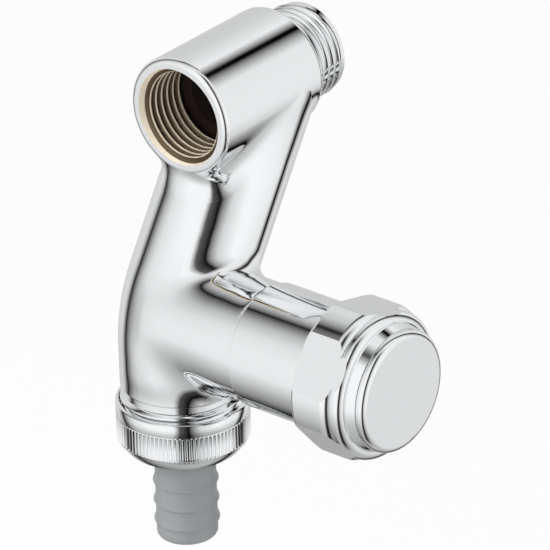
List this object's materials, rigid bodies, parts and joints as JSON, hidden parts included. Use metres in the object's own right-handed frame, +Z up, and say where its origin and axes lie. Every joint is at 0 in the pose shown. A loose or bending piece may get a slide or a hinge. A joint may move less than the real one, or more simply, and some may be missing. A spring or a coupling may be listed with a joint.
{
  "type": "angle valve",
  "caption": "Chromed appliance valve: wall tee with threaded socket, slanted leg, side turning handle, check valve and hose union with a barbed nozzle.",
  "frame": {"origin": "centre of the wall thread where it meets the shoulder of the tee", "axes": "+Y into the wall along the tee, +X along the head to the handle, +Z up"},
  "size_m": [0.0744, 0.0611, 0.1104],
  "materials": {
    "chrome_plate": "polished chrome plate",
    "bare_brass": "machined bare brass",
    "spring_steel": "stainless spring steel",
    "black_rubber": "moulded rubber",
    "fibre_gasket": "pressed fibre",
    "grey_plastic": "moulded grey plastic",
    "white_plastic": "moulded white plastic"
  },
  "bodies": {
    "body": {"valve_body": "chrome_plate", "headpart_housing": "bare_brass", "headpart_gasket": "fibre_gasket", "bonnet_sleeve": "chrome_plate", "check_valve_housing": "white_plastic", "check_valve_guide": "white_plastic", "check_valve_o_ring": "black_rubber", "check_valve_spring": "spring_steel"},
    "handle_set": {"handle": "chrome_plate", "handle_cap": "chrome_plate", "handle_screw": "spring_steel", "handle_insert": "white_plastic", "spindle": "bare_brass", "spindle_o_rings": "black_rubber", "thrust_washer": "white_plastic", "circlip": "spring_steel"},
    "plunger_set": {"plunger": "bare_brass", "valve_washer": "black_rubber", "washer_screw": "bare_brass"},
    "poppet_set": {"check_valve_poppet": "white_plastic", "poppet_seal": "black_rubber"},
    "nozzle_set": {"hose_nozzle": "grey_plastic", "union_gasket": "black_rubber"},
    "nut_set": {"union_nut": "chrome_plate"}
  },
  "joints": [
    {"name": "handle_turn", "type": "hinge", "parent": "body", "child": "handle_set", "pos_m": [0.05, -0.034, -0.0445], "axis": [1, 0, 0], "range_deg": [0, 900]},
    {"name": "plunger_slide", "type": "slide", "parent": "body", "child": "plunger_set", "axis": [1, 0, 0], "range_m": [0, 0.005]},
    {"name": "poppet_slide", "type": "slide", "parent": "body", "child": "poppet_set", "axis": [0, 0, -1], "range_m": [0, 0.003], "stiffness_N_per_m": 100, "springref_m": -0.003, "deforming": ["check_valve_spring"]},
    {"name": "nozzle_drop", "type": "slide", "parent": "body", "child": "nozzle_set", "axis": [0, 0, -1], "range_m": [0, 0.00545]},
    {"name": "nut_turn", "type": "hinge", "parent": "nozzle_set", "child": "nut_set", "pos_m": [0, -0.034, -0.07], "axis": [0, 0, -1], "range_deg": [0, 1080]}
  ],
  "couplings": [
    {"joint": "plunger_slide", "follows": "handle_turn", "m_per_rad": 0.00031831},
    {"joint": "nozzle_drop", "follows": "nut_turn", "m_per_rad": 0.00028871}
  ]
}
